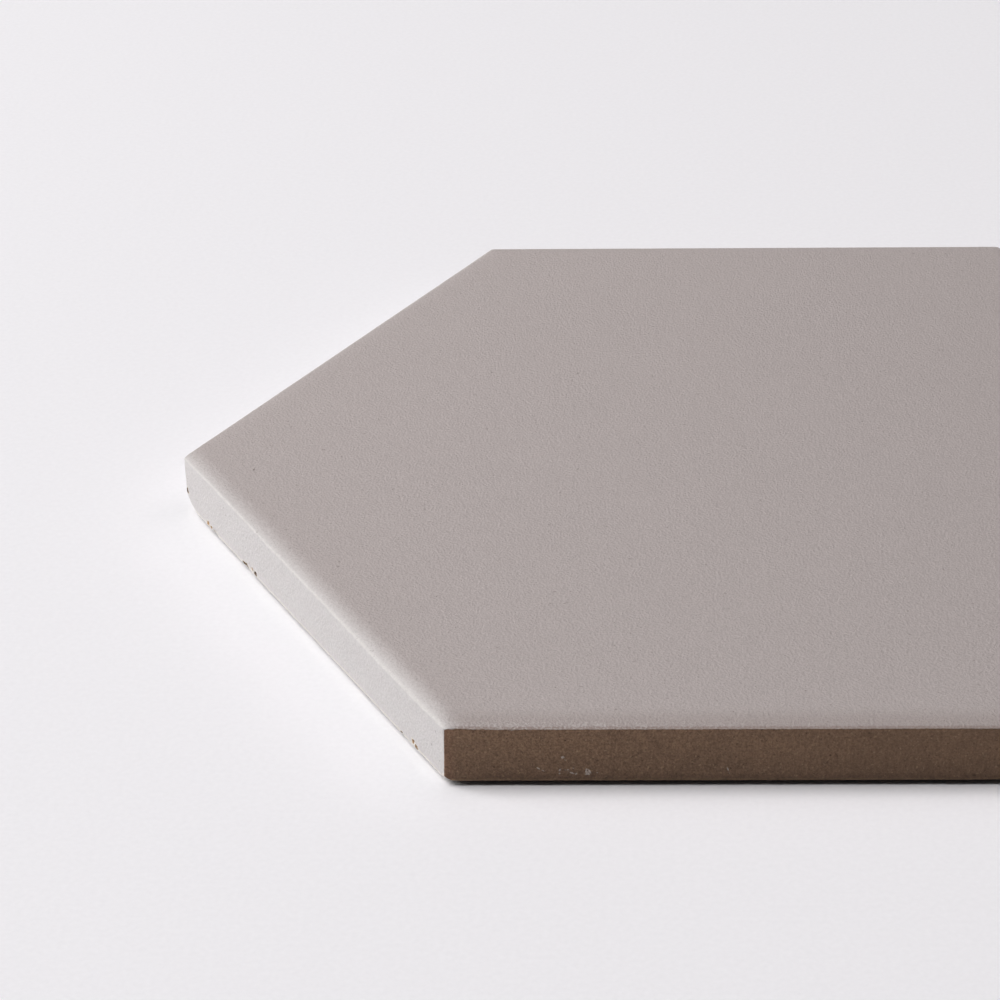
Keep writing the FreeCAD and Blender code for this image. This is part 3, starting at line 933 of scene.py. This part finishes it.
# A plain pale sheet under the tile.
def buildFloor():
    far = floorSheet["reach"] * mm
    corners = [(-far, -far, 0.0), (far, -far, 0.0), (far, far, 0.0), (-far, far, 0.0)]
    mesh = bpy.data.meshes.new("floorSheet")
    mesh.from_pydata(corners, [], [(0, 1, 2, 3)])
    sheet = bpy.data.objects.new("floorSheet", mesh)
    bpy.context.scene.collection.objects.link(sheet)
    nodes = nodeTable("paleSheet")
    fleck = nodes.noise(*floorSheet["fleckNoise"])
    colour = nodes.blend(fleck, floorSheet["darkFleck"], floorSheet["paleFleck"])
    shader = nodes.add("ShaderNodeBsdfPrincipled")
    nodes.put(shader.inputs["Base Color"], colour)
    shader.inputs["Roughness"].default_value = floorSheet["roughness"]
    shader.inputs["Specular IOR Level"].default_value = floorSheet["specular"]
    nodes.feed(nodes.add("ShaderNodeOutputMaterial"), Surface=shader.outputs[0])
    mesh.materials.append(nodes.material)
    print("floor: plain sheet")


# Light: soft lamps to the left of the tile, one high and one low, a weak and slightly warm
# one to its right, and a faint sky. A lamp's share is the plain light that it gives on the
# floor.
lamps = {
    "highLamp": {
        "azimuth": 181.0, "elevation": 62.0, "distance": 3000.0, "size": 1800.0,
        "share": 0.60, "colour": (1.0, 1.0, 1.0),
    },
    "lowLamp": {
        "azimuth": 174.5, "elevation": 31.0, "distance": 3000.0, "size": 1900.0,
        "share": 0.24, "colour": (1.0, 1.0, 1.0),
    },
    "rightLamp": {
        "azimuth": 15.0, "elevation": 60.0, "distance": 3000.0, "size": 1700.0,
        "share": 0.155, "colour": (1.0, 0.90, 0.915),
    },
}
sky = {"zenith": 0.05, "horizon": 0.03, "backdrop": 0.87}


# A square lamp facing the tile. Its power is its share times pi squared times its distance
# squared, over the sine of its elevation.
def hangLamp(name, lamp):
    turn, rise = math.radians(lamp["azimuth"]), math.radians(lamp["elevation"])
    level = math.cos(rise)
    toLamp = Vector((math.cos(turn) * level, math.sin(turn) * level, math.sin(rise)))
    distance = lamp["distance"] * mm
    data = bpy.data.lights.new(name, "AREA")
    data.shape = "SQUARE"
    data.size = lamp["size"] * mm
    data.energy = lamp["share"] * math.pi ** 2 * distance ** 2 / math.sin(rise)
    data.color = lamp["colour"]
    body = bpy.data.objects.new(name, data)
    bpy.context.scene.collection.objects.link(body)
    body.location = toLamp * distance
    body.rotation_mode = "QUATERNION"
    body.rotation_quaternion = toLamp.to_track_quat("Z", "Y")
    body.visible_camera = False
    print("light: %s, %.1f W" % (name, data.energy))


# The sky's light rises from the horizon to the zenith with the height that a ray points to.
# What the camera sees past the floor is a plain backdrop.
def buildSky():
    world = bpy.data.worlds.new("paleSky")
    world.use_nodes = True
    bpy.context.scene.world = world
    tree = world.node_tree
    tree.nodes.clear()
    place = tree.nodes.new("ShaderNodeTexCoord")
    parts = tree.nodes.new("ShaderNodeSeparateXYZ")
    rising = tree.nodes.new("ShaderNodeMapRange")
    rising.inputs["To Min"].default_value = sky["horizon"]
    rising.inputs["To Max"].default_value = sky["zenith"]
    light = tree.nodes.new("ShaderNodeBackground")
    seen = tree.nodes.new("ShaderNodeBackground")
    seen.inputs["Strength"].default_value = sky["backdrop"]
    rays = tree.nodes.new("ShaderNodeLightPath")
    mix = tree.nodes.new("ShaderNodeMixShader")
    output = tree.nodes.new("ShaderNodeOutputWorld")
    tree.links.new(place.outputs["Generated"], parts.inputs[0])
    tree.links.new(parts.outputs["Z"], rising.inputs["Value"])
    tree.links.new(rising.outputs[0], light.inputs["Strength"])
    tree.links.new(rays.outputs["Is Camera Ray"], mix.inputs[0])
    tree.links.new(light.outputs[0], mix.inputs[1])
    tree.links.new(seen.outputs[0], mix.inputs[2])
    tree.links.new(mix.outputs[0], output.inputs["Surface"])
    print("light: sky")


# Camera as fitted to the tile's corners and edges. Its principal point is a little to the
# right of the middle of the picture, which is the shift.
camera = {
    "position": (-18.764, -486.68, 270.889),
    "pitch": 28.954,
    "yaw": 1.070,
    "roll": -0.723,
    "focalPixels": 3176.4,
    "centreOffset": 98.37,
    "picture": 1000.0,
    "sensor": 36.0,
    "nearest": 10.0,
    "farthest": 100000.0,
}


# Aim along yaw and pitch, then turn about the view by the roll.
def buildCamera():
    pitch, yaw, roll = (math.radians(camera[key]) for key in ("pitch", "yaw", "roll"))
    level = math.cos(pitch)
    ahead = Vector((-math.sin(yaw) * level, math.cos(yaw) * level, -math.sin(pitch)))
    right = Vector((math.cos(yaw), math.sin(yaw), 0.0))
    up = right.cross(ahead)
    rolledRight = math.cos(roll) * right + math.sin(roll) * up
    rolledUp = math.cos(roll) * up - math.sin(roll) * right
    data = bpy.data.cameras.new("camera")
    data.sensor_width = camera["sensor"]
    data.lens = camera["focalPixels"] / camera["picture"] * camera["sensor"]
    data.shift_x = -camera["centreOffset"] / camera["picture"]
    data.clip_start = camera["nearest"] * mm
    data.clip_end = camera["farthest"] * mm
    eye = bpy.data.objects.new("camera", data)
    bpy.context.scene.collection.objects.link(eye)
    turn = Matrix((rolledRight, rolledUp, -ahead)).transposed()
    eye.matrix_world = Matrix.Translation(Vector(camera["position"]) * mm) @ turn.to_4x4()
    bpy.context.scene.camera = eye
    print("camera: lens %.1f mm" % data.lens)


piece = buildTile()
piece.data.materials.append(firedTileMaterial())
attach(piece, "root")
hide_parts("hexagon_tile")
buildFloor()
for name, lamp in lamps.items():
    hangLamp(name, lamp)
buildSky()
buildCamera()
bpy.context.scene.view_settings.view_transform = "Standard"
